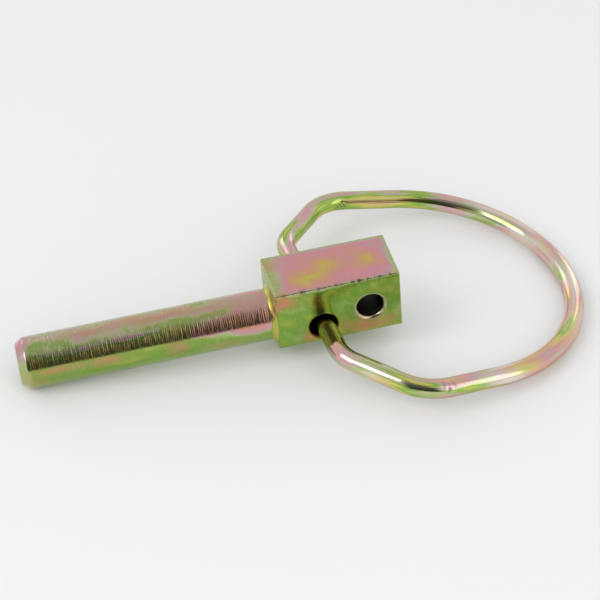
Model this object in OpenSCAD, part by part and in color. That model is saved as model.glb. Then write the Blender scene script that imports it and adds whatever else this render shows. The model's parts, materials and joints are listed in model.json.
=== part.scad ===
// Lynch pin: a round shank turned on the end of a square bar, with a sprung wire bail hinged through the head.
// X runs along the shank from the tip to the head, Z is up, and the origin is the shoulder on the shank's axis.

/* [Shank] */
// Diameter of the turned shank
shank_d = 12.7; // [8:0.1:13.5]
// Length of the shank, from the shoulder to the tip
shank_l = 62; // [40:1:120]
// Length of the chamfer at the tip
tip_chamfer_l = 2.1; // [0.5:0.1:4]
// How far the tip chamfer cuts in below the shank's surface
tip_chamfer_depth = 1.4; // [0.3:0.1:3]
// Radius of the fillet between the shank and the shoulder
root_fillet_r = 1.2; // [0.3:0.1:2]

/* [Head] */
// Width across the flats of the square bar
bar_w = 16; // [14:0.5:25]
// Length of the square head
head_l = 31; // [28:1:60]
// Width of shoulder left beside the shank at the front face and at the underside
shoulder_land = 0.05; // [0.05:0.05:1.5]
// Chamfer on the head's long edges and round its free end
edge_break = 0.3; // [0.1:0.1:0.5]

/* [Hinge hole] */
// Distance of the hinge hole from the shoulder
hinge_x = 11.5; // [8:0.1:14]
// Wall left between the hinge hole and the head's underside
hinge_wall = 0.9; // [0.7:0.1:4]
// Clearance all round the wire in the hinge hole
hinge_clearance = 1; // [0.4:0.05:1.5]
// Width and depth of the countersink at each mouth of a hole
countersink = 0.45; // [0.1:0.05:0.6]

/* [Cross hole] */
// Diameter of the empty cross hole
cross_d = 6.6; // [4:0.1:9]
// Distance of the cross hole from the head's free end
cross_from_end = 7.6; // [6:0.1:9]
// How far the cross hole lies below the middle of the head
cross_drop = 0.6; // [0:0.1:2]

/* [Bail] */
// Diameter of the wire
wire_d = 4.8; // [3:0.1:6]
// Distance from each side of the head to the corner of the first bend
stub_out = 15; // [12:0.5:30]
// Distance of the second bends from the hinge, measured along the bail
leg_l = 15.4; // [12:0.1:30]
// How far each leg spreads sideways between its two bends
leg_spread = 16; // [10:0.5:25]
// Distance from the second bends to the centre of the end arc
run_l = 15.2; // [8:0.1:40]
// How far each side run draws in before it meets the end arc
run_taper = 1.9; // [0.5:0.1:5]
// Radius of the first bends, at the middle of the wire
first_bend_r = 8.5; // [5:0.5:12]
// Radius of the second bends, at the middle of the wire
second_bend_r = 13; // [6:0.5:16]
// Gap between the two ends of the wire inside the head
end_gap = 2; // [1:0.5:3]

/* [Lie of the bail] */
// Angle of the bail below the pin's axis
bail_drop = 10.2; // [0:0.1:30]
// Gap left where the askew wire comes nearest to the mouths of its hole
mouth_gap = 0.28; // [0.1:0.02:0.4]
// Which way the bail lies askew: 0 turns it level towards the back, 90 lifts its back leg
askew_way = 26.6; // [0:0.1:90]
// How far the bail has slid through the hinge hole towards the back
bail_slide = 3.3; // [0:0.1:4]

/* [Hidden] */
$fn = 96;

steel_yellow = "#b5a45c";
wire_yellow = "#c2ad78";
through = 1;
// The wire is a hair fuller in its bends, and each straight length runs a little way into the bend beside it.
bend_swell = 0.03;
wire_lap = 0.4;

shank_r = shank_d / 2;
// The bar was held off centre, so the head stands off the shank's axis towards the back and the top.
head_shift = (bar_w - shank_d) / 2 - shoulder_land;
hinge_bore_d = wire_d + 2 * hinge_clearance;
hinge_z = head_shift - bar_w / 2 + hinge_wall + hinge_bore_d / 2;
cross_x = head_l - cross_from_end;
cross_z = head_shift - cross_drop;

// The bail is drawn flat: x runs out from the hinge, y across, and each half is the mirror of the other.
first_corner = [0, bar_w / 2 + stub_out];
second_corner = first_corner + [leg_l, leg_spread];
end_arc_r = second_corner.y - run_taper;
end_centre = [second_corner.x + run_l, 0];
to_centre = end_centre - second_corner;
run_angle = atan2(to_centre.y, to_centre.x) + asin(end_arc_r / norm(to_centre));
leg_angle = atan2(leg_spread, leg_l);
first_trim = first_bend_r * tan((90 - leg_angle) / 2);
second_trim = second_bend_r * tan((leg_angle - run_angle) / 2);

// The loose wire lies askew in its hole, as far as the play at the two mouths lets it.
askew = atan((hinge_clearance - mouth_gap) / (bar_w / 2));
bail_yaw = askew * cos(askew_way);
bail_lean = askew * sin(askew_way);

function along(angle, distance) = distance * [cos(angle), sin(angle)];

stub_end = first_corner - along(90, first_trim);
leg_start = first_corner + along(leg_angle, first_trim);
leg_end = second_corner - along(leg_angle, second_trim);
run_start = second_corner + along(run_angle, second_trim);
run_end = end_centre + along(90 + run_angle, end_arc_r);

// Outline of the square bar with its corners taken off, one point either side of each corner
function broken_corner(sx, sy, half, cut) = [
    [sx * half, sy * (half - cut)],
    [sx * (half - cut), sy * half],
];

module along_x() {
    rotate([90, 0, 90]) children();
}

// The square bar's section, carried along X
module bar(from_x, to_x) {
    half = bar_w / 2;
    front = broken_corner(1, 1, half, edge_break);
    back = broken_corner(-1, 1, half, edge_break);
    translate([from_x, head_shift, head_shift])
        along_x()
            linear_extrude(to_x - from_x)
                polygon([front[0], front[1], back[1], back[0], -front[0], -front[1], -back[1], -back[0]]);
}

// Side view of the head with the two corners of its free end taken off
module free_end_outline() {
    half = bar_w / 2;
    polygon([
        [0, -half],
        [head_l - edge_break, -half],
        [head_l, edge_break - half],
        [head_l, half - edge_break],
        [head_l - edge_break, half],
        [0, half],
    ]);
}

module head() {
    intersection() {
        bar(0, head_l);
        translate([0, 0, head_shift - bar_w / 2 - through])
            linear_extrude(bar_w + 2 * through)
                translate([0, head_shift]) free_end_outline();
        translate([0, head_shift + bar_w / 2 + through, head_shift])
            rotate([90, 0, 0])
                linear_extrude(bar_w + 2 * through)
                    free_end_outline();
    }
}

// Half section of the turned shank: radius across, distance from the tip upwards
module shank_profile() {
    difference() {
        union() {
            polygon([
                [0, 0],
                [shank_r - tip_chamfer_depth, 0],
                [shank_r, tip_chamfer_l],
                [shank_r, shank_l],
                [0, shank_l],
            ]);
            translate([shank_r, shank_l - root_fillet_r]) square(root_fillet_r);
        }
        translate([shank_r + root_fillet_r, shank_l - root_fillet_r]) circle(root_fillet_r);
    }
}

// The shank and its fillet, only as far as the bar gave metal for them
module shank() {
    intersection() {
        translate([-shank_l, 0, 0]) along_x() rotate_extrude() shank_profile();
        bar(-shank_l - through, 0);
    }
}

// A drilled hole across the bar, countersunk at both mouths
module cross_drilling(x, z, d) {
    half = bar_w / 2;
    translate([x, head_shift, z])
        rotate([90, 0, 0]) {
            cylinder(h = bar_w + 2 * through, d = d, center = true);
            for (side = [0, 180])
                rotate([side, 0, 0])
                    translate([0, 0, half - countersink])
                        cylinder(h = 2 * countersink, d1 = d, d2 = d + 4 * countersink);
        }
}

module pin() {
    color(steel_yellow)
        difference() {
            union() {
                shank();
                head();
            }
            cross_drilling(hinge_x, hinge_z, hinge_bore_d);
            cross_drilling(cross_x, cross_z, cross_d);
        }
}

// A straight length of wire between two points of the flat bail
module straight_wire(from, to) {
    run = to - from;
    translate(from)
        rotate([0, 90, atan2(run.y, run.x)])
            translate([0, 0, -wire_lap])
                cylinder(h = norm(run) + 2 * wire_lap, d = wire_d);
}

// A bend in the wire about a centre, from one angle round to the next
module bent_wire(centre, radius, from_angle, to_angle) {
    translate(centre)
        rotate([0, 0, from_angle])
            rotate_extrude(angle = to_angle - from_angle)
                translate([radius, 0]) circle(d = wire_d + 2 * bend_swell);
}

module half_bail() {
    straight_wire([0, end_gap / 2 + wire_lap], stub_end);
    bent_wire(stub_end + [first_bend_r, 0], first_bend_r, 90 + leg_angle, 180);
    straight_wire(leg_start, leg_end);
    bent_wire(leg_end + along(leg_angle - 90, second_bend_r), second_bend_r, 90 + run_angle, 90 + leg_angle);
    straight_wire(run_start, run_end);
}

module bail() {
    color(wire_yellow)
        translate([hinge_x, head_shift, hinge_z])
            rotate([0, 0, bail_yaw])
                rotate([bail_lean, 0, 0])
                    rotate([0, bail_drop, 0])
                        translate([0, bail_slide, 0]) {
                            half_bail();
                            mirror([0, 1, 0]) half_bail();
                            bent_wire(end_centre, end_arc_r, -90 - run_angle, 90 + run_angle);
                        }
}

pin();
bail();
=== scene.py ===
"""Lynch pin dressed for its picture: a turned and cross-drilled steel pin with a sprung wire bail, both zinc
plated and yellow passivated. Lengths are in metres in the part's own frame: X runs from the tip to the head,
and Z is up."""

import json
from math import asin, atan, atan2, cos, hypot, pi, radians, sin, tan

import bmesh
import bpy
import numpy as np
from mathutils import Matrix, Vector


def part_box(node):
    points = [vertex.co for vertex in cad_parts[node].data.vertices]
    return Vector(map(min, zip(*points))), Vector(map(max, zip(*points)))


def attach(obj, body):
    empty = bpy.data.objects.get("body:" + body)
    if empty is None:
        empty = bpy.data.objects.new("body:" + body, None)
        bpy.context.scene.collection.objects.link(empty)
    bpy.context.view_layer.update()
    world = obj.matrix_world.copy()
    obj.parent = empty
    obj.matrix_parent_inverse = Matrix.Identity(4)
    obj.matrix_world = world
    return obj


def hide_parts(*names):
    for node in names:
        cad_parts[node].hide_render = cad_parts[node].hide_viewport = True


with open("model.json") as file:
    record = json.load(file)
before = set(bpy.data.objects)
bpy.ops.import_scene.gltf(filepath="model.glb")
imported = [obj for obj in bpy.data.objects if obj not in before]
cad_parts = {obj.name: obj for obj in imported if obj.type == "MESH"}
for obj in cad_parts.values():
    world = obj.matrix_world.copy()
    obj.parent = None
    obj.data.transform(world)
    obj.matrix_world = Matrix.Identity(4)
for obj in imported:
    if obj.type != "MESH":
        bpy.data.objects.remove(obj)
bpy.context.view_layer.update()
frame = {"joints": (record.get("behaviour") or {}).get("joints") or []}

MM = 0.001
PIN_LOW, PIN_HIGH = (np.array(corner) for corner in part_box("pin"))
HINGE = next(joint["pos_m"] for joint in frame["joints"] if joint["name"] == "bail_swing")

# Head: the square bar that is left beyond the shoulder, at x = 0
HEAD_L = PIN_HIGH[0]
HALF_BAR = (PIN_HIGH[1] - PIN_LOW[1]) / 2
HEAD_Y = (PIN_HIGH[1] + PIN_LOW[1]) / 2
HEAD_Z = (PIN_HIGH[2] + PIN_LOW[2]) / 2
EDGE_R = 0.35 * MM
SHOULDER_EDGE_R = 0.04 * MM

# Holes across the head: one for the wire, and an empty one
WIRE_R = 2.4 * MM
HINGE_CLEARANCE = 1.0 * MM
HINGE_X, HINGE_Z = HINGE[0], HINGE[2]
HINGE_R = WIRE_R + HINGE_CLEARANCE
CROSS_FROM_END = 7.6 * MM
CROSS_DROP = 0.6 * MM
CROSS_X = HEAD_L - CROSS_FROM_END
CROSS_Z = HEAD_Z - CROSS_DROP
CROSS_R = 3.3 * MM
COUNTERSINK = 0.45 * MM
HOLES = [(HINGE_X, HINGE_Z, HINGE_R), (CROSS_X, CROSS_Z, CROSS_R)]

# Shank
SHANK_L = -PIN_LOW[0]
SHANK_R = 6.35 * MM
TIP_CHAMFER_L = 2.1 * MM
TIP_CHAMFER_DEPTH = 1.4 * MM
ROOT_FILLET_R = 1.2 * MM
UNDERCUT = 0.06 * MM
UNDERCUT_L = 0.8 * MM
TURNING_PITCH = 1.1 * MM
TURNING_DEPTH = 0.012 * MM

# Bail, drawn flat: x runs out from the hinge and y across it
FIRST_BEND_R = 8.5 * MM
SECOND_BEND_R = 13.0 * MM
STUB_OUT = 15.0 * MM
LEG_L = 15.4 * MM
LEG_SPREAD = 16.0 * MM
RUN_L = 15.2 * MM
RUN_TAPER = 1.9 * MM
WIRE_END_GAP = 2.0 * MM
WIRE_END_ROUND = 0.4 * MM
# The near end isn't quite straight: it is bent a little towards the tip and up where it goes into the head
NEAR_END_BENT = np.array([-0.23, 0.1]) * MM
NEAR_END_FROM, NEAR_END_TO = 18.0 * MM, 8.0 * MM

# Lie of the bail: dropped, slid towards the back, and askew as far as the play in its hole lets it, less a
# gap that is left at the mouths. The way is 0 for a level turn, and a right angle for a lean
BAIL_DROP = radians(10.2)
BAIL_SLIDE = 3.3 * MM
MOUTH_GAP = 0.28 * MM
ASKEW = atan((HINGE_CLEARANCE - MOUTH_GAP) / HALF_BAR)
ASKEW_WAY = radians(26.6)
BAIL_YAW = ASKEW * cos(ASKEW_WAY)
BAIL_LEAN = ASKEW * sin(ASKEW_WAY)

# The camera, found by fitting the part's edges to the photograph
CAMERA_AT = np.array([-57.04, -375.16, 306.12]) * MM
CAMERA_AIM = np.array([7.83, 2.66, 0.0]) * MM
CAMERA_ROLL = -5.437
CAMERA_LENS = 120.6
CAMERA_SENSOR = 36.0

# Points closer than this are one point, and edges sharper than this stay sharp
MERGE_WITHIN = 0.002 * MM
SHARP_FROM = radians(38)


def unit(vector):
    """The vector divided by its length."""
    return np.asarray(vector, float) / np.linalg.norm(vector)


def smooth_step(share):
    """A share from 0 to 1 made to start and end gently: three times its square less twice its cube."""
    return share * share * (3 - 2 * share)


def soft_noise(points, wavelength, seed, waves=24):
    """Smooth noise of about unit spread: cosine waves near one wavelength, in seeded random directions,
    added up."""
    rng = np.random.default_rng(seed)
    directions = rng.normal(size=(waves, 3))
    directions /= np.linalg.norm(directions, axis=1, keepdims=True)
    numbers = 2 * pi / wavelength * rng.uniform(0.6, 1.5, (waves, 1))
    phases = rng.uniform(0, 2 * pi, waves)
    return np.cos(points @ (directions * numbers).T + phases).sum(axis=1) / np.sqrt(waves / 2)


def bump_at(points, centre, reach):
    """A round bump: 1 at the centre, falling as a bell curve with the distance over the reach, per axis."""
    return np.exp(-((((points - np.asarray(centre)) / np.asarray(reach)) ** 2).sum(axis=-1)))


def quads(rows, columns, closed=False):
    """Four-sided faces between neighbouring points of a grid. A closed grid joins its last column to its
    first."""
    across = columns if closed else columns - 1
    row, column = np.meshgrid(np.arange(rows - 1), np.arange(across), indexing="ij")
    here = row * columns + column
    beside = row * columns + (column + 1) % columns
    return np.stack([here, beside, beside + columns, here + columns], axis=-1).reshape(-1, 4)


def joined(patches):
    """Several patches (points, faces, material number) put end to end as one set of arrays."""
    sizes = [len(points) for points, _, _ in patches]
    starts = np.concatenate([[0], np.cumsum(sizes)[:-1]])
    points = np.concatenate([points for points, _, _ in patches])
    faces = np.concatenate([faces + start for (_, faces, _), start in zip(patches, starts)])
    slots = np.concatenate([np.full(len(faces), slot) for _, faces, slot in patches])
    return points, faces, slots


def placed(name, data):
    """A new object in the scene that holds the data."""
    holder = bpy.data.objects.new(name, data)
    bpy.context.scene.collection.objects.link(holder)
    return holder


def mesh_piece(name, points, faces, slots, materials, attributes):
    """One object from arrays: doubles are merged, so that seams and poles close, and faces are turned
    outwards."""
    mesh = bpy.data.meshes.new(name)
    mesh.from_pydata(points, [], faces)
    mesh.polygons.foreach_set("material_index", slots.astype(np.int32))
    for material in materials:
        mesh.materials.append(material)
    for label, values in attributes.items():
        vector = values.ndim == 2
        layer = mesh.attributes.new(label, "FLOAT_VECTOR" if vector else "FLOAT", "POINT")
        layer.data.foreach_set("vector" if vector else "value", values.astype(np.float32).ravel())
    shell = bmesh.new()
    shell.from_mesh(mesh)
    bmesh.ops.remove_doubles(shell, verts=shell.verts, dist=MERGE_WITHIN)
    bmesh.ops.recalc_face_normals(shell, faces=shell.faces)
    shell.to_mesh(mesh)
    shell.free()
    mesh.shade_smooth()
    mesh.set_sharp_from_angle(angle=SHARP_FROM)
    return placed(name, mesh)


# The pin's surface

# The pin's two finishes, by material number
BAR_FINISH, TURNED_FINISH = 0, 1
FLAT_HALF = HALF_BAR - EDGE_R
FLAT_STEPS = 33
EDGE_STEPS = 4
FLAT_EVEN = np.linspace(-1, 1, FLAT_STEPS)
# Places across a flat, closer together towards its edges
FLAT = FLAT_HALF * (0.5 * FLAT_EVEN + 0.5 * np.sin(FLAT_EVEN * pi / 2))
CELL_SPLIT = (HINGE_X + CROSS_X) / 2
HEAD_STEP = 0.16 * MM


def bar_outline():
    """Round the bar's section: for each side its flat's places, then a quarter round over the edge. Gives
    each point's foot on the square inside the edge rounds, and the way out from there."""
    turn = np.linspace(0, pi / 2, EDGE_STEPS + 2)[1:-1]
    feet = np.concatenate([
        np.stack([np.full(FLAT_STEPS, -FLAT_HALF), FLAT], axis=1),
        np.tile([-FLAT_HALF, FLAT_HALF], (EDGE_STEPS, 1)),
    ])
    ways = np.concatenate([
        np.tile([-1.0, 0.0], (FLAT_STEPS, 1)),
        np.stack([-np.cos(turn), np.sin(turn)], axis=1),
    ])
    quarter = np.array([[0.0, -1.0], [1.0, 0.0]])
    turns = [np.linalg.matrix_power(quarter, side) for side in range(4)]
    return np.concatenate([feet @ q for q in turns]), np.concatenate([ways @ q for q in turns])


FEET, WAYS = bar_outline()


def bar_ring(x, inset):
    """The bar's section at each x, drawn in by an inset: the foot, plus the way out times the edge radius
    less the inset."""
    reach = (EDGE_R - inset)[:, None, None]
    across = FEET[None] + reach * WAYS[None] + [HEAD_Y, HEAD_Z]
    return np.concatenate([np.broadcast_to(x[:, None, None], across.shape[:2] + (1,)), across], axis=2)


# The shoulder's outline is eased back a little all round, and most at its upper front corner
SHOULDER_EASE = 0.12 * MM
CORNER_EASE = 0.55 * MM
EASE_REACH = 3.0 * MM


def shoulder_ease(y, z):
    """How far the shoulder's outline is eased back: the ease all round, and more towards the front and the
    top."""
    to_front = (PIN_HIGH[1] - y) / (2 * HALF_BAR)
    to_top = (z - PIN_LOW[2]) / (2 * HALF_BAR)
    return SHOULDER_EASE + CORNER_EASE * to_front * (0.3 + 0.7 * to_top)


def eased(points):
    """Draws the head's surface back by the shoulder's ease, fading out along the head."""
    moved = points.copy()
    fade = np.clip(1 - points[..., 0] / EASE_REACH, 0, 1)
    moved[..., 0] += shoulder_ease(points[..., 1], points[..., 2]) * fade
    return moved


def head_places():
    """Places along the head's flats, from the shoulder to the split between the holes, and on to the free
    end."""
    first = np.linspace(SHOULDER_EDGE_R, CELL_SPLIT, round(CELL_SPLIT / HEAD_STEP))
    second = np.linspace(CELL_SPLIT, HEAD_L - EDGE_R, round((HEAD_L - CELL_SPLIT) / HEAD_STEP))
    return first, second


def head_belt():
    """The bar's section carried along the head, with a quarter round at each end, less the two drilled
    flats."""
    first, second = head_places()
    flats = np.concatenate([first, second[1:]])
    start = np.linspace(0, pi / 2, 3)[:-1]
    end = np.linspace(0, pi / 2, EDGE_STEPS + 2)[1:]
    x = np.concatenate([
        SHOULDER_EDGE_R * (1 - np.cos(start)),
        flats,
        HEAD_L - EDGE_R + EDGE_R * np.sin(end),
    ])
    inset = np.concatenate([
        SHOULDER_EDGE_R * (1 - np.sin(start)),
        np.zeros(len(flats)),
        EDGE_R * (1 - np.cos(end)),
    ])
    ring = bar_ring(x, inset)
    rows, columns = ring.shape[:2]
    faces = quads(rows, columns, closed=True)
    row, column = np.divmod(np.arange(len(faces)), columns)
    side = len(FEET) // 4
    on_flat = (row >= len(start)) & (row < len(start) + len(flats) - 1)
    drilled = on_flat & (column % (2 * side) < FLAT_STEPS - 1)
    return eased(ring).reshape(-1, 3), faces[~drilled], BAR_FINISH


# The mouth of a hole, from the flat inwards: how much wider than the hole it is, and how deep that lies
MOUTH_WIDER = np.array([0.49, 0.44, 0.25, 0.04, 0.0, 0.0, 0.0, 0.0]) * MM
MOUTH_DEPTHS = np.array([0.0, 0.03, 0.2, 0.42, 0.5, 2.0, 4.5, 7.0]) * MM
CELL_RINGS = 11


def cell_outline(places):
    """Round one cell of a drilled flat, in x and z: along the bottom, up, back along the top and down."""
    z = FLAT + HEAD_Z
    bottom = np.stack([places, np.full(len(places), z[0])], axis=1)[:-1]
    right = np.stack([np.full(FLAT_STEPS, places[-1]), z], axis=1)[:-1]
    top = np.stack([places[::-1], np.full(len(places), z[-1])], axis=1)[:-1]
    left = np.stack([np.full(FLAT_STEPS, places[0]), z[::-1]], axis=1)[:-1]
    return np.concatenate([bottom, right, top, left])


def drilled_cell(places, hole_x, hole_z, hole_r):
    """A cell of the front and back flats with its hole: rays run from the mouth's rim to the cell's outline,
    closer together by the rim, and between the two mouths the same rays follow the countersinks and the
    wall of the hole."""
    outline = cell_outline(places)
    away = outline - [hole_x, hole_z]
    rays = away / np.linalg.norm(away, axis=1, keepdims=True)
    rim_r = hole_r + MOUTH_WIDER[0]
    share = np.linspace(0, 1, CELL_RINGS)[:, None, None] ** 1.3
    flat = (1 - share) * (rim_r * rays + [hole_x, hole_z]) + share * outline
    radii = hole_r + np.concatenate([MOUTH_WIDER, MOUTH_WIDER[::-1]])
    depths = np.concatenate([MOUTH_DEPTHS, 2 * HALF_BAR - MOUTH_DEPTHS[::-1]])
    wall = radii[:, None, None] * rays + [hole_x, hole_z]

    def at(flat_points, y):
        x, z = flat_points[..., 0], flat_points[..., 1]
        return eased(np.stack([x, y + 0 * x, z], axis=-1)).reshape(-1, 3)

    front = HEAD_Y - HALF_BAR
    back = HEAD_Y + HALF_BAR
    flat_faces = quads(CELL_RINGS, len(outline), closed=True)
    wall_faces = quads(len(depths), len(outline), closed=True)
    return [
        (at(flat, front), flat_faces, BAR_FINISH),
        (at(flat, back), flat_faces, BAR_FINISH),
        (at(wall, (front + depths)[:, None]), wall_faces, BAR_FINISH),
    ]


def free_end():
    """The sawn end of the bar: a flat grid over the square inside its edge rounds."""
    y, z = np.meshgrid(FLAT + HEAD_Y, FLAT + HEAD_Z, indexing="ij")
    points = np.stack([np.full(y.shape, HEAD_L), y, z], axis=-1).reshape(-1, 3)
    return points, quads(FLAT_STEPS, FLAT_STEPS), BAR_FINISH


# The tip: the chamfer with its corners worn round, then the flat face in to the axis, as shares of the
# chamfer's length and of its depth
TIP_ALONG = np.array([0.05, 0.12, 0.35, 0.6, 0.8, 0.91, 0.98, 1.0, 1.0, 1.0, 1.0])
TIP_IN = np.array([0.015, 0.075, 0.3, 0.55, 0.76, 0.9, 1.04, 1.2, 2.0, 3.2, SHANK_R / TIP_CHAMFER_DEPTH])
SHOULDER_STEPS, FILLET_STEPS, SHANK_STEPS = 8, 10, 300
# How soon the shoulder's ease gives way to a flat as the shoulder gets wider
FLUSH_FADE = 0.4 * MM
# The turning rings come and go along the shank, and their spacing drifts
RING_PATCH, RING_DRIFT = 7 * MM, 9 * MM


def turned_shank():
    """The shoulder and the shank in one sheet: rays from the shank's axis to the shoulder's outline fix the
    angles. Along them the shoulder runs in to the fillet, a quarter ellipse down to a slight undercut. The
    shank with its turning rings, the chamfer and the tip are radii turned round the axis. Where the shank is
    flush with the bar the shoulder has no width, and the fillet runs straight out to the eased outline."""
    rim = bar_ring(np.zeros(1), np.full(1, SHOULDER_EDGE_R))[0, :, 1:]
    rim_r = np.linalg.norm(rim, axis=1)
    rays = rim / rim_r[:, None]
    ease = shoulder_ease(rim[:, 0], rim[:, 1])
    fillet_top = np.minimum(SHANK_R + ROOT_FILLET_R, rim_r)
    land = rim_r - fillet_top
    flush = np.exp(-land / FLUSH_FADE)

    share = np.linspace(1, 0, SHOULDER_STEPS)[:, None]
    shoulder_x = ease * (flush + (1 - flush) * share ** 4)
    shoulder_r = fillet_top + share * land
    bend = np.linspace(pi / 2, 0, FILLET_STEPS)[1:, None]
    fillet_x = (ease * flush + ROOT_FILLET_R) * np.sin(bend) - ROOT_FILLET_R
    fillet_r = SHANK_R - UNDERCUT + (fillet_top - SHANK_R + UNDERCUT) * (1 - np.cos(bend))

    shank_x = np.linspace(-ROOT_FILLET_R, TIP_CHAMFER_L - SHANK_L, SHANK_STEPS)[1:]
    line = np.stack([shank_x, 0 * shank_x, 0 * shank_x], axis=1)
    strength = np.clip(1 + 0.5 * soft_noise(line, RING_PATCH, 11), 0.2, 2)
    drift = 0.8 * soft_noise(line, RING_DRIFT, 12)
    groove = 0.5 - 0.5 * np.cos(2 * pi * shank_x / TURNING_PITCH + drift)
    dip = UNDERCUT * np.exp(-((shank_x + ROOT_FILLET_R) / UNDERCUT_L) ** 2)
    shank_r = SHANK_R - dip - TURNING_DEPTH * strength * groove
    turned_x = np.concatenate([shank_x, TIP_CHAMFER_L * (1 - TIP_ALONG) - SHANK_L])[:, None]
    turned_r = np.concatenate([shank_r, SHANK_R - TIP_CHAMFER_DEPTH * TIP_IN])[:, None]

    whole = np.ones(len(rays))
    x = np.concatenate([shoulder_x, fillet_x, turned_x * whole])
    r = np.concatenate([shoulder_r, fillet_r, turned_r * whole])
    points = np.concatenate([x[..., None], r[..., None] * rays], axis=2)
    return points.reshape(-1, 3), quads(len(x), len(rays), closed=True), TURNED_FINISH


# Larger knocks along the head's upper front edge: place along the head, length and depth
LARGE_KNOCKS = np.array([
    (2.2, 0.30, 0.04), (6.9, 0.7, 0.07), (11.2, 0.4, 0.05), (16.6, 0.35, 0.05),
    (19.1, 0.4, 0.07), (21.0, 0.6, 0.09), (23.0, 0.4, 0.07), (26.0, 0.3, 0.05), (28.5, 0.4, 0.07),
]) * MM
# Small knocks between them, at random within these least and most values
SMALL_KNOCKS = 56
SMALL_LEAST = (0.4, 0.08, 0.01)
SMALL_MOST = (30.6, 0.22, 0.05)
KNOCK_REACH = 0.5 * MM


def knocks():
    """The larger knocks with many small ones between them, at seeded places all along the edge."""
    rng = np.random.default_rng(5)
    small = rng.uniform(SMALL_LEAST, SMALL_MOST, (SMALL_KNOCKS, 3)) * MM
    return np.concatenate([LARGE_KNOCKS, small])


def knocked(points):
    """Pushes the upper front edge in at each knock, a bell curve along it and about it, and gives how deep
    each point went, from 0 to 1."""
    edge = np.array([HEAD_Y - HALF_BAR, HEAD_Z + HALF_BAR])
    near = np.exp(-((points[:, 1:] - edge) ** 2).sum(axis=1) / KNOCK_REACH ** 2)
    x, length, depth = knocks().T
    along = (depth * np.exp(-((points[:, :1] - x) / length) ** 2)).sum(axis=1)
    moved = points.copy()
    moved[:, 1:] += (near * along)[:, None] * np.array([1.0, -1.0])
    return moved, near * along / depth.max()


# The pin's film

# Film values name the passivate's tints in order: 0 gold, 0.28 salmon, 0.42 rose, 0.62 beige, 0.77 green,
# and 1 gold again
TOP_FILM, SIDE_FILM, END_FILM = 0.39, 0.785, 0.67
ROOT_FILM = 0.95
# The rims of the hinge hole and the cross hole: the film on each, its reach, and how far, from 0 to 1, the
# hinge's rim is darkened like the walls of the holes
RIM_FILMS = 0.88, 0.60
RIM_REACH = 0.3 * MM
HINGE_RIM_DARKENING = 0.6
# Patches of thinner or thicker film on the head, in millimetres: place, reach on each axis, and push
HEAD_BLOTCHES = [
    ((9.6, -1.6, 9.6), (4.4, 2.6, 2.0), -0.44),
    ((14.6, 1.8, 9.6), (4.0, 2.8, 2.0), -0.27),
    ((25.0, 1.6, 9.6), (3.0, 2.6, 2.0), -0.38),
    ((28.5, 3.4, 9.6), (1.8, 4.0, 2.0), 0.06),
    ((20.0, -3.0, 9.6), (4.0, 2.5, 2.0), 0.04),
    ((29.6, -4.8, 9.6), (2.4, 2.4, 2.0), 0.10),
    ((4.0, -6.4, 3.8), (2.0, 2.0, 2.0), -0.07),
    ((14.0, -6.4, 6.4), (2.4, 2.0, 2.4), 0.10),
    ((18.0, -6.4, 4.0), (2.2, 2.0, 2.0), -0.06),
    ((20.0, -6.4, -4.6), (6.0, 2.0, 2.4), 0.12),
]
# Patches on the head where the film turned salmon: place, reach and strength
HEAD_BLUSH = [
    ((1.4, -6.4, 7.4), (3.8, 2.0, 2.0), 1.10),
    ((7.9, -6.4, -4.4), (1.8, 2.0, 2.4), 0.70),
    ((22.6, -6.4, -4.3), (3.8, 2.0, 1.7), 0.85),
    ((28.6, -6.4, -3.6), (1.8, 2.0, 1.8), 0.45),
    ((17.6, -6.4, -3.2), (2.4, 2.0, 2.6), 0.35),
    ((1.6, 5.6, 9.6), (1.8, 2.2, 2.0), 0.55),
    ((2.0, -2.0, 9.6), (1.0, 3.0, 2.0), 0.30),
]
# How far the greyish green reaches in from the top's edges, in millimetres: shoulder, end, back and front
TOP_RIMS = 3.8, 1.3, 1.1, 0.5
# The film round the shank, as degrees from the top towards the front and film values: away from the head,
# by the head, and on the tip
SHANK_ROUND = np.array([
    (-180, 0.66), (-90, 0.68), (-60, 0.67), (-30, 0.63), (-10, 0.60), (4, 0.56), (14, 0.60), (24, 0.67),
    (34, 0.72), (44, 0.66), (52, 0.86), (62, 0.96), (69, 0.86), (76, 0.78), (92, 0.765), (125, 0.70),
    (180, 0.66),
])
ROOT_ROUND = np.array([
    (-180, 0.66), (-90, 0.66), (-60, 0.62), (-30, 0.56), (0, 0.48), (30, 0.46), (48, 0.34), (56, 0.26),
    (66, 0.24), (72, 0.34), (80, 0.42), (92, 0.74), (125, 0.72), (180, 0.66),
])
TIP_ROUND = np.array([
    (-180, 0.60), (0, 0.46), (40, 0.56), (56, 0.64), (64, 0.68), (72, 0.68), (88, 0.66), (180, 0.60),
])
# Patches of thinner or thicker film on the shank: millimetres along it and degrees from the top towards the
# front, reach, and push
SHANK_BLOTCHES = [
    ((-56.0, 20), (6.0, 14), 0.17),
    ((-46.0, 38), (5.0, 10), -0.20),
    ((-34.0, 38), (6.0, 9), -0.20),
    ((-23.0, 28), (8.0, 13), 0.12),
    ((-14.0, 26), (2.4, 7), 0.18),
    ((-37.0, 94), (5.0, 8), 0.10),
]
# Patches on the shank where the film turned salmon: place, reach and strength
SHANK_BLUSH = [
    ((-53.0, 78), (5.0, 7), 0.85),
    ((-41.4, 81), (3.0, 9), 0.80),
    ((-24.4, 86), (2.8, 13), 0.60),
    ((-12.0, 106), (5.0, 9), 0.40),
    ((-59.0, 106), (4.0, 22), 0.35),
    ((-29.0, 0), (14.0, 11), 0.75),
    ((-46.0, 4), (6.0, 7), 0.45),
    ((-8.0, 20), (10.0, 30), 0.30),
    ((-9.0, 57), (11.0, 14), 0.90),
]
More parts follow.
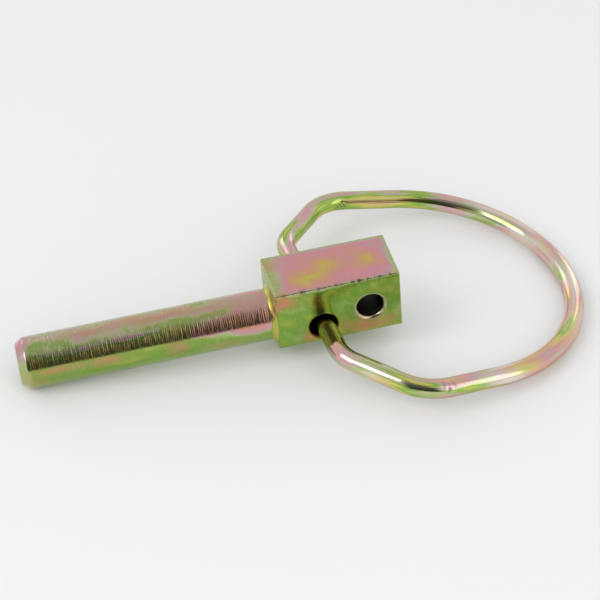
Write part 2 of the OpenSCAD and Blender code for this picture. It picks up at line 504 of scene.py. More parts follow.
# The root's colours reach so far along the shank, in millimetres, further in the band that faces forward and
# up, and fade out from there
ROOT_REACH, BAND_REACH, ROOT_FADE = 18, 9, 12
BAND_AT, BAND_WIDTH = 60, 14
# The mottled band along the shank's upper side, in degrees from the top: its middle, half its width, and the
# fade at its edges
MOTTLE_MIDDLE, MOTTLE_HALF, MOTTLE_FADE = 5, 76, 20
# How soon one film gives way to the next at the root and on the tip, and the zinc to the painted shade of a
# hole
ROOT_FILM_FADE, TIP_FILM_FADE, HOLE_SHADE_FADE = 0.5 * MM, 0.8 * MM, 1.5 * MM
# Sizes of the clouds and flecks in the film, and of the wavering of its patches
HEAD_CLOUD, HEAD_FLECK = 9 * MM, 3.5 * MM
SHANK_CLOUD, SHANK_FLECK = 5 * MM, 2 * MM
TIP_CLOUD = 4 * MM
WAVER_WIDE, WAVER_FINE = 5 * MM, 1.6 * MM
SHANK_WAVER_ROUND, SHANK_WAVER_ALONG = 6 * MM, 4 * MM


def patches_at(places, patches):
    """What a list of patches adds up to at each place: the bump of each, times its push or strength."""
    return sum(amount * bump_at(places, centre, reach) for centre, reach, amount in patches)


def wavering(points):
    """The points in millimetres, moved about by two soft noises, so that what is drawn by them gets ragged
    outlines."""
    wide = np.stack([soft_noise(points, WAVER_WIDE, seed) for seed in (35, 36, 37)], axis=1)
    fine = np.stack([soft_noise(points, WAVER_FINE, seed) for seed in (38, 39, 40)], axis=1)
    return points / MM + 0.4 * wide + 0.12 * fine


def head_film(points):
    """Film over the head: rose on top and green on the sides, moved by patches and soft noise, with the rims'
    own values round the mouths of the holes, and turning to greyish green towards the edges of the top."""
    up = np.clip((points[:, 2] - PIN_HIGH[2]) / MM + 1, 0, 1)
    places = wavering(points)
    film = SIDE_FILM + (TOP_FILM - SIDE_FILM) * up + 0.03 * soft_noise(points, HEAD_CLOUD, 21)
    film += 0.02 * (1 - up) * soft_noise(points, HEAD_FLECK, 22)
    film += patches_at(places, HEAD_BLOTCHES)
    for (x, z, r), rim_film in zip(HOLES, RIM_FILMS):
        gap = np.hypot(points[:, 0] - x, points[:, 2] - z) - r - COUNTERSINK
        film += np.exp(-(np.maximum(gap, 0) / RIM_REACH) ** 2) * (1 - up) * (rim_film - film)
    gaps = [
        places[:, 0],
        HEAD_L / MM - places[:, 0],
        (PIN_HIGH[1] - points[:, 1]) / MM,
        (points[:, 1] - PIN_LOW[1]) / MM,
    ]
    rim = np.max([np.exp(-(np.maximum(gap, 0) / reach) ** 3) for gap, reach in zip(gaps, TOP_RIMS)], axis=0)
    return film + up * rim * (END_FILM - film)


def angle_from_top(points):
    """Degrees round the shank's axis, from the top towards the front."""
    return np.degrees(np.arctan2(-points[:, 1], points[:, 2]))


def root_and_tip(points):
    """How far each point lies in the root's fillet, and how far on the tip's chamfer, both from 0 to 1."""
    x = points[:, 0]
    root = np.clip((x + ROOT_FILLET_R + 0.1 * MM) / ROOT_FILM_FADE, 0, 1)
    tip = np.clip((TIP_CHAMFER_L * 1.4 - SHANK_L - x) / TIP_FILM_FADE, 0, 1)
    return root, tip


def mottle_and_ring_shading(points):
    """How mottled and ringed the shank is, and so how much painted ring shading it gets: 1 over its upper
    side, a fifth below, and 0 in the fillet and on the tip."""
    root, tip = root_and_tip(points)
    off_middle = np.abs(angle_from_top(points) - MOTTLE_MIDDLE)
    upper = np.clip((MOTTLE_HALF - off_middle) / MOTTLE_FADE, 0.2, 1)
    return upper * (1 - root) * (1 - tip)


def shank_places(points):
    """Millimetres along the shank and degrees from its top, moved about by soft noise for ragged outlines."""
    angle = angle_from_top(points)
    waver = soft_noise(points * [0.6, 1, 1], SHANK_WAVER_ROUND, 33) * np.cos(np.radians(angle / 2))
    along = points[:, 0] / MM + 0.7 * soft_noise(points, SHANK_WAVER_ALONG, 34)
    return np.stack([along, angle + 4 * waver], axis=1)


def shank_film(points):
    """Film over the shank: a value looked up by the angle from the top towards the front, blended between the
    root's row and the rest by the place along the shank, moved by patches and by soft noise drawn out along
    the shank, stronger above, and with its own values in the fillet, on the shoulder and on the tip."""
    places = shank_places(points)
    along, angle = places.T
    root_reach = ROOT_REACH + BAND_REACH * np.exp(-((angle - BAND_AT) / BAND_WIDTH) ** 2)
    by_root = smooth_step(np.clip((along + root_reach) / ROOT_FADE, 0, 1))
    film = np.interp(angle, *SHANK_ROUND.T) * (1 - by_root) + np.interp(angle, *ROOT_ROUND.T) * by_root
    stir = mottle_and_ring_shading(points)
    film += stir * 0.045 * soft_noise(points * [0.6, 1, 1], SHANK_CLOUD, 31)
    film += stir * 0.03 * soft_noise(points * [0.8, 1, 1], SHANK_FLECK, 32)
    film += patches_at(places, SHANK_BLOTCHES)
    root, tip = root_and_tip(points)
    film += root * (ROOT_FILM - film)
    radius = np.hypot(points[:, 1], points[:, 2])
    shoulder = np.clip((radius - SHANK_R - 0.7 * ROOT_FILLET_R) / ROOT_FILM_FADE, 0, 1)
    film += shoulder * (END_FILM - film)
    chamfer = np.interp(angle_from_top(points), *TIP_ROUND.T)
    face = np.clip((SHANK_R - TIP_CHAMFER_DEPTH - radius) / TIP_FILM_FADE, 0, 1)
    chamfer += face * (END_FILM + 0.05 * soft_noise(points, TIP_CLOUD, 23) - chamfer)
    return film + tip * (chamfer - film)


def hole_shade_depth(points):
    """How much painted shade each point gets in a hole, by how deep it lies: from 0 near a mouth to 1 past a
    couple of millimetres. The rims of the hinge hole are darkened in part as well."""
    inside = np.zeros(len(points), bool)
    for x, z, r in HOLES:
        inside |= np.hypot(points[:, 0] - x, points[:, 2] - z) < r + 0.1 * MM
    depth = np.minimum(points[:, 1] - PIN_LOW[1], PIN_HIGH[1] - points[:, 1])
    hinge_gap = np.hypot(points[:, 0] - HINGE_X, points[:, 2] - HINGE_Z) - HINGE_R
    rim_darkened = HINGE_RIM_DARKENING * np.clip((COUNTERSINK - hinge_gap) / RIM_REACH, 0, 1)
    return np.maximum(inside * np.clip((depth - COUNTERSINK) / HOLE_SHADE_FADE, 0, 1), rim_darkened)


def pin_piece(bar_steel, turned_steel):
    """The whole pin as one closed skin."""
    first, second = head_places()
    patches = [head_belt(), free_end(), turned_shank()]
    patches += drilled_cell(first, HINGE_X, HINGE_Z, HINGE_R)
    patches += drilled_cell(second, CROSS_X, CROSS_Z, CROSS_R)
    points, faces, slots = joined(patches)
    points, knock = knocked(points)
    turned = np.concatenate([np.full(len(spots), slot == TURNED_FINISH) for spots, _, slot in patches])
    shank_blush = patches_at(shank_places(points), SHANK_BLUSH)
    head_blush = patches_at(wavering(points), HEAD_BLUSH)
    attributes = {
        "film": np.where(turned, shank_film(points), head_film(points)),
        "blush": np.where(turned, shank_blush, head_blush),
        "knock": knock,
        # The walls of the holes get painted shade, darker the deeper in
        "hole_shade": hole_shade_depth(points),
        "mottle_and_ring_shading": mottle_and_ring_shading(points),
        "fillet": root_and_tip(points)[0] * turned,
    }
    return mesh_piece("pin_steel", points, faces, slots, [bar_steel, turned_steel], attributes)


# The bail's surface

FIRST_CORNER = np.array([0.0, HALF_BAR + STUB_OUT])
SECOND_CORNER = FIRST_CORNER + [LEG_L, LEG_SPREAD]
END_ARC_R = SECOND_CORNER[1] - RUN_TAPER
END_CENTRE = np.array([SECOND_CORNER[0] + RUN_L, 0.0])
TO_CENTRE = END_CENTRE - SECOND_CORNER
RUN_ANGLE = atan2(TO_CENTRE[1], TO_CENTRE[0]) + asin(END_ARC_R / hypot(*TO_CENTRE))
LEG_ANGLE = atan2(LEG_SPREAD, LEG_L)
FIRST_TRIM = FIRST_BEND_R * tan((pi / 2 - LEG_ANGLE) / 2)
SECOND_TRIM = SECOND_BEND_R * tan((LEG_ANGLE - RUN_ANGLE) / 2)
WIRE_STEP = 0.3 * MM
WIRE_SIDES = 44


def heading(angle):
    """The unit vector at an angle in the bail's plane."""
    return np.array([cos(angle), sin(angle)])


def straight(start, end):
    """Evenly spaced points from start to end, without the end itself."""
    count = max(2, round(hypot(*(end - start)) / WIRE_STEP))
    return start + np.linspace(0, 1, count, endpoint=False)[:, None] * (end - start)


def arc(centre, radius, start, end):
    """Evenly spaced points round a centre from one angle to another, without the end itself."""
    count = max(2, round(abs(end - start) * radius / WIRE_STEP))
    angles = np.linspace(start, end, count, endpoint=False)
    return centre + radius * np.stack([np.cos(angles), np.sin(angles)], axis=1)


def bail_path():
    """The wire's middle line in the flat: stub, first bend, leg, second bend and run of the back half, the
    end arc, and the front half as the back half's mirror image run the other way."""
    stub_end = FIRST_CORNER - FIRST_TRIM * heading(pi / 2)
    leg_start = FIRST_CORNER + FIRST_TRIM * heading(LEG_ANGLE)
    leg_end = SECOND_CORNER - SECOND_TRIM * heading(LEG_ANGLE)
    run_start = SECOND_CORNER + SECOND_TRIM * heading(RUN_ANGLE)
    run_end = END_CENTRE + END_ARC_R * heading(pi / 2 + RUN_ANGLE)
    first_centre = stub_end + [FIRST_BEND_R, 0]
    second_centre = leg_end + SECOND_BEND_R * heading(LEG_ANGLE - pi / 2)
    half = np.concatenate([
        straight(np.array([0, WIRE_END_GAP / 2]), stub_end),
        arc(first_centre, FIRST_BEND_R, pi, pi / 2 + LEG_ANGLE),
        straight(leg_start, leg_end),
        arc(second_centre, SECOND_BEND_R, pi / 2 + LEG_ANGLE, pi / 2 + RUN_ANGLE),
        straight(run_start, run_end),
    ])
    end = arc(END_CENTRE, END_ARC_R, pi / 2 + RUN_ANGLE, -pi / 2 - RUN_ANGLE)
    return np.concatenate([half, end, [run_end * [1, -1]], half[::-1] * [1, -1]])


def bail_turn():
    """The bail's lie: dropped about Y, then leaned about X, then yawed about Z."""
    drop, lean, yaw = BAIL_DROP, BAIL_LEAN, BAIL_YAW
    about_y = np.array([[cos(drop), 0, sin(drop)], [0, 1, 0], [-sin(drop), 0, cos(drop)]])
    about_x = np.array([[1, 0, 0], [0, cos(lean), -sin(lean)], [0, sin(lean), cos(lean)]])
    about_z = np.array([[cos(yaw), -sin(yaw), 0], [sin(yaw), cos(yaw), 0], [0, 0, 1]])
    return about_z @ about_x @ about_y


# Marks of the bending former: millimetres along the wire from its middle, degrees round it, and depth in
# millimetres; then the reach of each, in millimetres along the wire and round it
FORMER_MARKS = [
    (-69.2, 168, 0.20), (-70.4, 182, 0.16), (-68.2, 182, 0.16),
    (68.5, 36, 0.10), (67.1, 54, 0.08), (69.6, 52, 0.06),
]
MARK_ALONG, MARK_ROUND = 0.6, radians(24)
FORMER_DEEPEST = max(depth for _, _, depth in FORMER_MARKS) * MM
# The film along the wire: millimetres from its middle, the far half first, and film values
WIRE_ALONG = np.array([
    (-116, 0.50), (-98, 0.54), (-90, 0.66), (-79, 0.74), (-58, 0.76), (-40, 0.64), (-28, 0.46), (-14, 0.44),
    (12, 0.40), (25, 0.20), (36, 0.16), (48, 0.40), (56, 0.70), (62, 0.56), (67, 0.46), (72, 0.74),
    (80, 0.80), (88, 0.80), (93, 0.62), (98, 0.50), (116, 0.48),
])
# The film swings to and fro round the wire, lowest at this angle
SWING_AT = radians(75)
# Widths of the streaks and lines that are drawn out along the wire, in its film and in its painted highlights
WIRE_STREAK, WIRE_LINE, HIGHLIGHT_STREAK = 3.4 * MM, 1.3 * MM, 2.2 * MM
# Painted highlights: pale zinc where the wire's highlights fall, in millimetres from its middle, and reach
# along it
HIGHLIGHT_PATCHES = [(-20, 12), (12, 14), (54, 6), (90, 5)]


def former_marks(along, angle):
    """The former's marks in turn: depth in metres, and a bell curve along and round the wire."""
    for place, round_it, depth in FORMER_MARKS:
        turn = (angle - radians(round_it) + pi) % (2 * pi) - pi
        near = ((along / MM - place)[:, None] / MARK_ALONG) ** 2 + (turn / MARK_ROUND) ** 2
        yield depth * MM, np.exp(-near)


def wire_film(lie, angle):
    """Film on the wire: a value looked up by the place along it, swinging to and fro twice round it, and
    stirred by two soft noises drawn out along it."""
    film = np.interp(lie[:, 0] / MM, *WIRE_ALONG.T) - 0.13 * np.cos(2 * (angle - SWING_AT))
    film += 0.14 * soft_noise(lie * [0.22, 1, 1], WIRE_STREAK, 41)
    return film + 0.09 * soft_noise(lie * [0.08, 1, 1], WIRE_LINE, 42)


def painted_highlights(lie):
    """How much pale zinc is painted in as highlight, 0 to 1: bell curves along the wire times streaky noise.
    """
    along = lie[:, 0] / MM
    highlight_paint = sum(np.exp(-((along - place) / reach) ** 2) for place, reach in HIGHLIGHT_PATCHES)
    streaks = 0.6 + 0.4 * soft_noise(lie * [0.1, 1, 1], HIGHLIGHT_STREAK, 43)
    return np.clip(highlight_paint * streaks, 0, 1)


def bail_piece(wire_steel):
    """A circle carried along the bail's middle line: middle plus the radius times the cosine of the angle
    outwards and its sine upwards, dented at the former's marks, closed by a low dome at both ends, and bent a
    little aside along a smooth step at the near end."""
    middle = bail_path()
    step = np.gradient(middle, axis=0)
    step /= np.linalg.norm(step, axis=1, keepdims=True)
    outward = np.stack([-step[:, 1], step[:, 0]], axis=1)
    along = np.concatenate([[0], np.cumsum(np.linalg.norm(np.diff(middle, axis=0), axis=1))])
    along -= along[-1] / 2
    angle = np.linspace(0, 2 * pi, WIRE_SIDES, endpoint=False)

    to_end = along[-1] - np.abs(along)
    shrink = np.clip(1 - to_end / WIRE_END_ROUND, 0, 1)
    radius = (WIRE_R * np.sqrt(1 - shrink ** 2))[:, None] + 0 * angle
    mark = 0 * radius
    for depth, near in former_marks(along, angle):
        radius -= depth * near
        mark = np.maximum(mark, near * depth / FORMER_DEEPEST)

    out = radius * np.cos(angle)
    up = radius * np.sin(angle)
    from_near_end = along[-1] - along
    bent = np.clip((NEAR_END_FROM - from_near_end) / (NEAR_END_FROM - NEAR_END_TO), 0, 1)
    bent = smooth_step(bent)[:, None]
    flat = np.stack([
        middle[:, :1] + out * outward[:, :1] + bent * NEAR_END_BENT[0],
        middle[:, 1:] + out * outward[:, 1:] + BAIL_SLIDE,
        up + bent * NEAR_END_BENT[1],
    ], axis=-1)
    hinge = np.array([HINGE_X, HEAD_Y, HINGE_Z])
    points = flat.reshape(-1, 3) @ bail_turn().T + hinge
    lie = np.stack([along[:, None] + 0 * out, out, up], axis=-1).reshape(-1, 3)
    film = wire_film(lie, np.tile(angle, len(middle)))
    faces = quads(len(middle), WIRE_SIDES, closed=True)
    slots = np.zeros(len(faces))
    # Pale zinc is painted in as highlights where the wire's highlights fall
    attributes = {"film": film, "highlight_paint": painted_highlights(lie), "mark": mark.ravel(), "lie": lie}
    return mesh_piece("bail_wire", points, faces, slots, [wire_steel], attributes)


# Materials

# The tints that a passivate film runs through as it thickens, back to gold where it starts again
FILM_TINTS = [
    (0.00, "#d3bf64"), (0.14, "#d6ae72"), (0.28, "#d6a288"), (0.42, "#da98a4"), (0.54, "#c4ada6"),
    (0.62, "#bfbe98"), (0.69, "#a2ba70"), (0.77, "#7ea846"), (0.89, "#b0ba58"), (1.00, "#d3bf64"),
]
# On the smooth wire the film is thinner, and the bright zinc shows through
WIRE_TINTS = [
    (0.00, "#e2d082"), (0.14, "#e0c08c"), (0.28, "#dfb49c"), (0.42, "#dcaab0"), (0.54, "#ccb8ae"),
    (0.62, "#c8c6a2"), (0.69, "#b0c476"), (0.77, "#92bc50"), (0.89, "#c8d06a"), (1.00, "#e2d082"),
]
BLUSH_TINT = "#cb8c6c"
DUST_TINT = "#e0d6c4"
KNOCK_TINT = "#5e5236"
# The colour of the painted shade in the holes
HOLE_SHADE_TINT = "#34352f"
# The colour of the painted shading in the rings' valleys
RING_SHADING_TINT = "#b8aa8e"
# The pale zinc colour of the wire's painted highlights
HIGHLIGHT_TINT = "#ebe2d6"
WIRE_EDGE_TINT = "#f2e2de"
HATCH_TINT = "#3c2c1e"
CARD_TINT = "#e9e9ea"

# Sizes of the patterns on the bar
BAR_GRAIN = 1.2 * MM
BAR_CLOUD = 1.6 * MM
DUST_SPECK = 0.45 * MM
PIT_WIDTH, PIT_DEPTH = 0.5 * MM, 0.02 * MM
# Sizes of the patterns on the shank: its film's grain, its patches of sheen, and the marks of the feed
SHANK_GRAIN = 0.5 * MM
SHEEN_PATCH = 0.8 * MM
FEED_PITCH, SCORE_WIDTH, FEED_DEPTH = 0.5 * MM, 0.34 * MM, 0.065 * MM
# Sizes of the patterns on the wire. The die's drawing lines are a few hundredths of a millimetre apart, and
# are drawn coarser here so that they show
WIRE_GRAIN = 0.5 * MM
DRAWING_LINE, DRAWING_DEPTH = 0.35 * MM, 0.06 * MM
JAW_TEETH = 0.6 * MM

# A wave texture's bands lie 2 pi / 20 over its scale apart
WAVE_BAND = 2 * pi / 20
# A Mix node's two colours and its mixed colour, by socket number
MIX_A, MIX_B, MIXED = 6, 7, 2


def linear(colour):
    """A hex sRGB colour as linear red, green and blue, with full alpha."""
    parts = [int(colour[i:i + 2], 16) / 255 for i in (1, 3, 5)]
    return [p / 12.92 if p <= 0.04045 else ((p + 0.055) / 1.055) ** 2.4 for p in parts] + [1.0]


def add(tree, kind, inputs=None, stops=None, **settings):
    """Adds a shader node of a kind with its settings, its inputs, each a value or another node's output, and
    its colour stops."""
    made = tree.nodes.new("ShaderNode" + kind)
    for name, value in settings.items():
        setattr(made, name, value)
    for name, value in (inputs or {}).items():
        if isinstance(value, bpy.types.NodeSocket):
            tree.links.new(value, made.inputs[name])
        else:
            made.inputs[name].default_value = value
    if stops:
        band = made.color_ramp
        while len(band.elements) < len(stops):
            band.elements.new(1.0)
        for element, (place, colour) in zip(band.elements, stops):
            element.position = place
            element.color = linear(colour)
    return made


def empty_material(name):
    """A new material with an empty node tree."""
    material = bpy.data.materials.new(name)
    material.use_nodes = True
    material.node_tree.nodes.clear()
    return material, material.node_tree


def film_tint(tree, place, grain, stir, tints):
    """Base colour of the passivate: the piece's film attribute, stirred by fine noise, looked up in the
    tints, and salmon as far as the blush attribute says."""
    film = add(tree, "Attribute", attribute_name="film")
    fine = add(tree, "TexNoise", {"Vector": place, "Scale": 1 / grain, "Detail": 5.0})
    centred = add(tree, "Math", {0: fine.outputs["Fac"], 1: 0.5}, operation="SUBTRACT")
    stirred = add(
        tree, "Math", {0: centred.outputs[0], 1: stir, 2: film.outputs["Fac"]}, operation="MULTIPLY_ADD"
    )
    wrapped = add(tree, "Math", {0: stirred.outputs[0]}, operation="FRACT")
    tint = add(tree, "ValToRGB", {"Fac": wrapped.outputs[0]}, stops=tints)
    blush = add(tree, "Attribute", attribute_name="blush")
    blushed = add(
        tree, "Mix",
        {"Factor": blush.outputs["Fac"], MIX_A: tint.outputs["Color"], MIX_B: linear(BLUSH_TINT)},
        data_type="RGBA",
    )
    return blushed.outputs[MIXED]


def drawn_bar():
    """Cold drawn square bar, zinc plated and yellow passivated: smooth flats with a soft sheen and cloudy
    rainbow tints, darker where the edge was knocked, and with painted shade in its holes."""
    material, tree = empty_material("drawn_steel_bar_zinc_plated_yellow_passivated")
    place = add(tree, "TexCoord").outputs["Object"]
    tint = film_tint(tree, place, BAR_GRAIN, 0.11, FILM_TINTS)
    # Pale specks where dust lay in the bath
    dust = add(tree, "TexNoise", {"Vector": place, "Scale": 1 / DUST_SPECK, "Detail": 1.0})
    speck = add(
        tree, "MapRange",
        {"Value": dust.outputs["Fac"], "From Min": 0.68, "From Max": 0.80, "To Min": 0.0, "To Max": 0.5},
    )
    specked = add(
        tree, "Mix", {"Factor": speck.outputs[0], MIX_A: tint, MIX_B: linear(DUST_TINT)}, data_type="RGBA"
    )
    knock = add(tree, "Attribute", attribute_name="knock")
    knocked_tint = add(
        tree, "Mix",
        {"Factor": knock.outputs["Fac"], MIX_A: specked.outputs[MIXED], MIX_B: linear(KNOCK_TINT)},
        data_type="RGBA",
    )
    # Painted shade: hole walls are painted darker deeper in, partly for the thin zinc there
    hole_shade = add(tree, "Attribute", attribute_name="hole_shade")
    hole_shaded = add(
        tree, "Mix",
        {"Factor": hole_shade.outputs["Fac"], MIX_A: knocked_tint.outputs[MIXED], MIX_B: linear(HOLE_SHADE_TINT)},
        data_type="RGBA",
    )
    cloud = add(tree, "TexNoise", {"Vector": place, "Scale": 1 / BAR_CLOUD, "Detail": 5.0})
    rough_flat = add(
        tree, "MapRange",
        {"Value": cloud.outputs["Fac"], "From Min": 0.3, "From Max": 0.7, "To Min": 0.13, "To Max": 0.21},
    )
    worn = add(tree, "Math", {0: hole_shade.outputs["Fac"], 1: knock.outputs["Fac"]}, operation="ADD")
    rough = add(
        tree, "Math", {0: worn.outputs[0], 1: 0.35, 2: rough_flat.outputs[0]}, operation="MULTIPLY_ADD"
    )
    pits = add(tree, "TexNoise", {"Vector": place, "Scale": 1 / PIT_WIDTH, "Detail": 3.0})
    relief = add(tree, "Bump", {"Height": pits.outputs["Fac"], "Strength": 0.25, "Distance": PIT_DEPTH})
    shader = add(tree, "BsdfPrincipled", {
        "Base Color": hole_shaded.outputs[MIXED], "Metallic": 1.0, "Roughness": rough.outputs[0],
        "Normal": relief.outputs["Normal"],
    })
    add(tree, "OutputMaterial", {"Surface": shader.outputs[0]})
    return material


def turned_shank_steel():
    """Turned steel, zinc plated and yellow passivated: fine rings round the shank break its reflections into
    streaks under the cloudy tints, and the valleys between them are painted a dull beige as painted shading."""
    material, tree = empty_material("turned_steel_zinc_plated_yellow_passivated")
    place = add(tree, "TexCoord").outputs["Object"]
    stretched = add(tree, "Mapping", {"Vector": place, "Scale": (1.0, 0.3, 0.3)})
    mottle_and_shading = add(tree, "Attribute", attribute_name="mottle_and_ring_shading")
    stir = add(tree, "Math", {0: mottle_and_shading.outputs["Fac"], 1: 0.34}, operation="MULTIPLY")
    tint = film_tint(tree, stretched.outputs[0], SHANK_GRAIN, stir.outputs[0], FILM_TINTS)
    # The feed rings: uneven scores round the shank, with faint even bands between them
    feed = add(
        tree, "TexWave",
        {"Vector": place, "Scale": WAVE_BAND / FEED_PITCH, "Distortion": 2.0, "Detail Scale": 0.4},
        bands_direction="X",
    )
    scored = add(tree, "Mapping", {"Vector": place, "Scale": (1.0, 0.12, 0.12)})
    scores = add(tree, "TexNoise", {"Vector": scored.outputs[0], "Scale": 1 / SCORE_WIDTH, "Detail": 2.0})
    rings = add(
        tree, "Math", {0: feed.outputs["Fac"], 1: 0.22, 2: scores.outputs["Fac"]}, operation="MULTIPLY_ADD"
    )
    relief = add(
        tree, "Bump", {"Height": rings.outputs[0], "Strength": mottle_and_shading.outputs["Fac"], "Distance": FEED_DEPTH}
    )
    # Painted shading: the valleys between the rings are painted a dull beige, for the ticks of light and
    # shade along them
    valley_shading = add(
        tree, "MapRange",
        {"Value": rings.outputs[0], "From Min": 0.8, "From Max": 0.4, "To Min": 0.05, "To Max": 0.6},
    )
    ring_shading = add(tree, "Math", {0: valley_shading.outputs[0], 1: mottle_and_shading.outputs["Fac"]}, operation="MULTIPLY")
    ring_shaded = add(
        tree, "Mix", {"Factor": ring_shading.outputs[0], MIX_A: tint, MIX_B: linear(RING_SHADING_TINT)},
        data_type="RGBA",
    )
    patchy = add(tree, "TexNoise", {"Vector": stretched.outputs[0], "Scale": 1 / SHEEN_PATCH, "Detail": 2.0})
    rough = add(
        tree, "MapRange",
        {"Value": patchy.outputs["Fac"], "From Min": 0.3, "From Max": 0.7, "To Min": 0.14, "To Max": 0.26},
    )
    fillet = add(tree, "Attribute", attribute_name="fillet")
    rougher = add(
        tree, "Math", {0: fillet.outputs["Fac"], 1: 0.16, 2: rough.outputs[0]}, operation="MULTIPLY_ADD"
    )
    shader = add(tree, "BsdfPrincipled", {
        "Base Color": ring_shaded.outputs[MIXED], "Metallic": 1.0, "Roughness": rougher.outputs[0],
        "Normal": relief.outputs["Normal"],
    })
    add(tree, "OutputMaterial", {"Surface": shader.outputs[0]})
    return material


def spring_wire():
    """Drawn spring wire, zinc plated and yellow passivated: glossy, with tints drawn out in streaks along it,
    and pale zinc painted in as highlights where its highlights fall."""
    material, tree = empty_material("drawn_spring_wire_zinc_plated_yellow_passivated")
    lie = add(tree, "Attribute", attribute_name="lie").outputs["Vector"]
    drawn = add(tree, "Mapping", {"Vector": lie, "Scale": (0.05, 1.0, 1.0)})
    tint = film_tint(tree, drawn.outputs[0], WIRE_GRAIN, 0.4, WIRE_TINTS)
    # Painted highlights: pale zinc mixed in where the wire's highlights fall
    highlight_paint = add(tree, "Attribute", attribute_name="highlight_paint")
    highlighted = add(
        tree, "Mix", {"Factor": highlight_paint.outputs["Fac"], MIX_A: tint, MIX_B: linear(HIGHLIGHT_TINT)}, data_type="RGBA"
    )
    # The bending former's jaws left a dark hatch
    mark = add(tree, "Attribute", attribute_name="mark")
    jaws = add(
        tree, "TexWave", {"Vector": lie, "Scale": WAVE_BAND / JAW_TEETH, "Distortion": 1.5},
        bands_direction="DIAGONAL",
    )
    hatch = add(tree, "Math", {0: mark.outputs["Fac"], 1: jaws.outputs["Fac"]}, operation="MULTIPLY")
    marked = add(
        tree, "Mix",
        {"Factor": hatch.outputs[0], MIX_A: highlighted.outputs[MIXED], MIX_B: linear(HATCH_TINT)},
        data_type="RGBA",
    )
    scored = add(tree, "Mapping", {"Vector": lie, "Scale": (0.02, 1.0, 1.0)})
    lines = add(tree, "TexNoise", {"Vector": scored.outputs[0], "Scale": 1 / DRAWING_LINE, "Detail": 2.0})
    relief = add(tree, "Bump", {"Height": lines.outputs["Fac"], "Strength": 1.0, "Distance": DRAWING_DEPTH})
    gloss = add(
        tree, "MapRange",
        {"Value": lines.outputs["Fac"], "From Min": 0.3, "From Max": 0.7, "To Min": 0.08, "To Max": 0.15},
    )
    shader = add(tree, "BsdfPrincipled", {
        "Base Color": marked.outputs[MIXED], "Metallic": 1.0, "Roughness": gloss.outputs[0],
        "Normal": relief.outputs["Normal"], "Specular Tint": linear(WIRE_EDGE_TINT),
    })
    add(tree, "OutputMaterial", {"Surface": shader.outputs[0]})
    return material


def white_card():
    """Matt white card under the part: even and pale."""
    material, tree = empty_material("matt_white_card")
    shader = add(
        tree, "BsdfPrincipled", {"Base Color": linear(CARD_TINT), "Roughness": 0.9, "Specular IOR Level": 0.2}
    )
    add(tree, "OutputMaterial", {"Surface": shader.outputs[0]})
    return material


# Floor, light and camera

# Half the floor's side, and the falls that are tried for it
FLOOR_HALF = 2.5
FALLS = np.radians(np.linspace(0, 10, 201))


def resting_floor(pin, bail, card):
    """A flat sheet that falls along X just enough to touch both the shank's tip and the bail's end: for a row
    of falls the lowest points of both are compared, and the fall at which they agree is taken."""
    normals = np.stack([np.sin(FALLS), 0 * FALLS, np.cos(FALLS)])

    def lowest(piece):
        spots = np.empty(len(piece.data.vertices) * 3)
        piece.data.vertices.foreach_get("co", spots)
        return (spots.reshape(-1, 3) @ normals).min(axis=0)

    ahead = lowest(bail) - lowest(pin)
    fall = np.interp(0, ahead, FALLS)
    height = np.interp(fall, FALLS, lowest(bail))
    side = np.array([-FLOOR_HALF, FLOOR_HALF])
    u, v = np.meshgrid(side, side, indexing="ij")
    points = np.stack([
        u * cos(fall) + height * sin(fall),
        v,
        -u * sin(fall) + height * cos(fall),
    ], axis=-1).reshape(-1, 3)
    mesh = bpy.data.meshes.new("floor")
    mesh.from_pydata(points, [], quads(2, 2)[:, ::-1])
    mesh.materials.append(card)
    return placed("floor", mesh)


def towards(azimuth, elevation):
    """Unit vector at an azimuth, 0 to the front and 90 to the head's end, and an elevation, in degrees."""
    a, e = radians(azimuth), radians(elevation)
    return np.array([sin(a) * cos(e), -cos(a) * cos(e), sin(e)])


def looking(at, aim, roll=0.0):
    """A 4 by 4 placing that looks from a point to an aim: back is away from the aim, right is level, and
    right and up are then rolled about back."""
    back = unit(np.asarray(at) - aim)
    level = unit(np.cross([0, 0, 1], back))
    rise = np.cross(back, level)
    turn = radians(roll)
    placing = np.eye(4)
    placing[:3, 0] = cos(turn) * level + sin(turn) * rise
    placing[:3, 1] = cos(turn) * rise - sin(turn) * level
    placing[:3, 2] = back
    placing[:3, 3] = at
    return Matrix(placing)


LIGHT_CENTRE = np.array([10.0, 0.0, 0.0]) * MM
LAMP_DISTANCE = 2.2
# Lamps: azimuth, elevation, width and height in degrees, and brightness
LAMPS = {
    "lamp_left": (-75, 47, 30, 31, 2.5),
    "lamp_right": (46, 22, 23, 39, 0.8),
    "lamp_back_right": (134, 15, 13, 29, 0.7),
    "lamp_back_left": (-155, 27, 19, 29, 0.9),
}
FILL_LAMP = (-5, 32, 67, 58, 1.45)
# The room's light from the horizon up to the ceiling: on its pale side, and on its dark side
PALE_SIDE = [(0.0, "#f3f3f3"), (0.4, "#f0f0f0"), (0.7, "#eaeaea"), (1.0, "#e2e2e2")]
DARK_SIDE = [(0.0, "#303030"), (0.35, "#4a4a4a"), (0.7, "#646464"), (0.87, "#8a8a8a"), (0.98, "#cccccc")]
ROOM_STRENGTH = 0.90
# The dark side: its left and right ends at the floor, how far each end fades, and how far it leans to the
# left on its way up to the ceiling
DARK_FROM, DARK_TO = radians(-30), radians(13)
DARK_FADE = radians(18)
DARK_LEAN = radians(8)


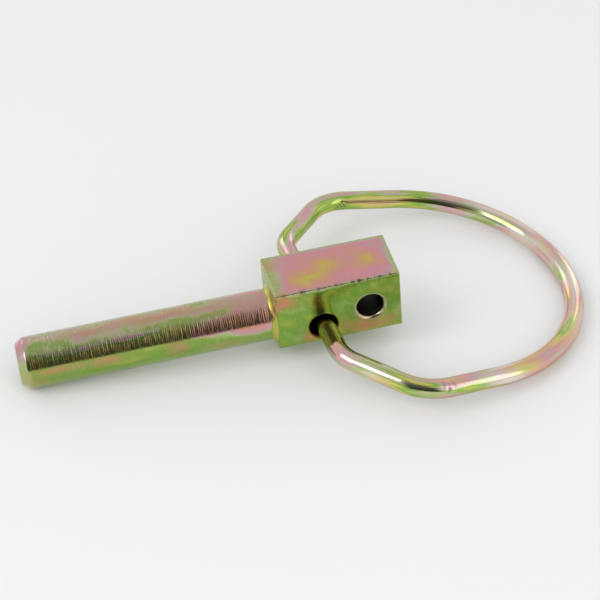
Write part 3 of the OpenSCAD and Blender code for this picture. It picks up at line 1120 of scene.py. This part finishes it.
def softbox(name, azimuth, elevation, wide, tall, brightness):
    """A soft lamp on a sphere round the part, facing its middle: its sides span two angles, in degrees, and
    its power is its brightness times its area and pi."""
    lamp = bpy.data.lights.new(name, "AREA")
    lamp.shape = "RECTANGLE"
    lamp.size = 2 * LAMP_DISTANCE * tan(radians(wide / 2))
    lamp.size_y = 2 * LAMP_DISTANCE * tan(radians(tall / 2))
    lamp.energy = brightness * lamp.size * lamp.size_y * pi
    holder = placed(name, lamp)
    holder.matrix_world = looking(LIGHT_CENTRE + LAMP_DISTANCE * towards(azimuth, elevation), LIGHT_CENTRE)
    return holder


def room():
    """A pale room that is darker on the camera's side: two ramps by height, mixed by the azimuth."""
    world = bpy.data.worlds.new("pale_room")
    bpy.context.scene.world = world
    world.use_nodes = True
    tree = world.node_tree
    tree.nodes.clear()
    way = add(tree, "TexCoord").outputs["Generated"]
    part = add(tree, "SeparateXYZ", {0: way})
    pale = add(tree, "ValToRGB", {"Fac": part.outputs["Z"]}, stops=PALE_SIDE)
    dark = add(tree, "ValToRGB", {"Fac": part.outputs["Z"]}, stops=DARK_SIDE)
    ahead = add(tree, "Math", {0: part.outputs["Y"], 1: -1.0}, operation="MULTIPLY")
    azimuth = add(tree, "Math", {0: part.outputs["X"], 1: ahead.outputs[0]}, operation="ARCTAN2")
    leaned = add(
        tree, "Math", {0: part.outputs["Z"], 1: DARK_LEAN, 2: azimuth.outputs[0]}, operation="MULTIPLY_ADD"
    )
    from_left = add(
        tree, "MapRange",
        {"Value": leaned.outputs[0], "From Min": DARK_FROM - DARK_FADE, "From Max": DARK_FROM},
        interpolation_type="SMOOTHSTEP",
    )
    to_right = add(
        tree, "MapRange",
        {"Value": leaned.outputs[0], "From Min": DARK_TO + DARK_FADE, "From Max": DARK_TO},
        interpolation_type="SMOOTHSTEP",
    )
    within = add(tree, "Math", {0: from_left.outputs[0], 1: to_right.outputs[0]}, operation="MULTIPLY")
    light = add(
        tree, "Mix",
        {"Factor": within.outputs[0], MIX_A: pale.outputs["Color"], MIX_B: dark.outputs["Color"]},
        data_type="RGBA",
    )
    back = add(tree, "Background", {"Color": light.outputs[MIXED], "Strength": ROOM_STRENGTH})
    add(tree, "OutputWorld", {"Surface": back.outputs[0]})


def studio():
    """The room's light, with soft lamps left, right and behind."""
    room()
    for name, lamp in LAMPS.items():
        softbox(name, *lamp)
    # The fill lights the floor and softens its shadows, and the metal doesn't mirror it
    fill = softbox("lamp_fill", *FILL_LAMP)
    fill.visible_glossy = False


def camera():
    """The photograph's camera: its place, aim, roll and lens."""
    lens = bpy.data.cameras.new("camera")
    lens.lens = CAMERA_LENS
    lens.sensor_width = CAMERA_SENSOR
    holder = placed("camera", lens)
    holder.matrix_world = looking(CAMERA_AT, CAMERA_AIM, CAMERA_ROLL)
    bpy.context.scene.camera = holder


pin = pin_piece(drawn_bar(), turned_shank_steel())
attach(pin, "pin")
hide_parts("pin")

bail = bail_piece(spring_wire())
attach(bail, "bail")
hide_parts("bail")

resting_floor(pin, bail, white_card())
studio()
camera()
bpy.context.scene.view_settings.view_transform = "Standard"
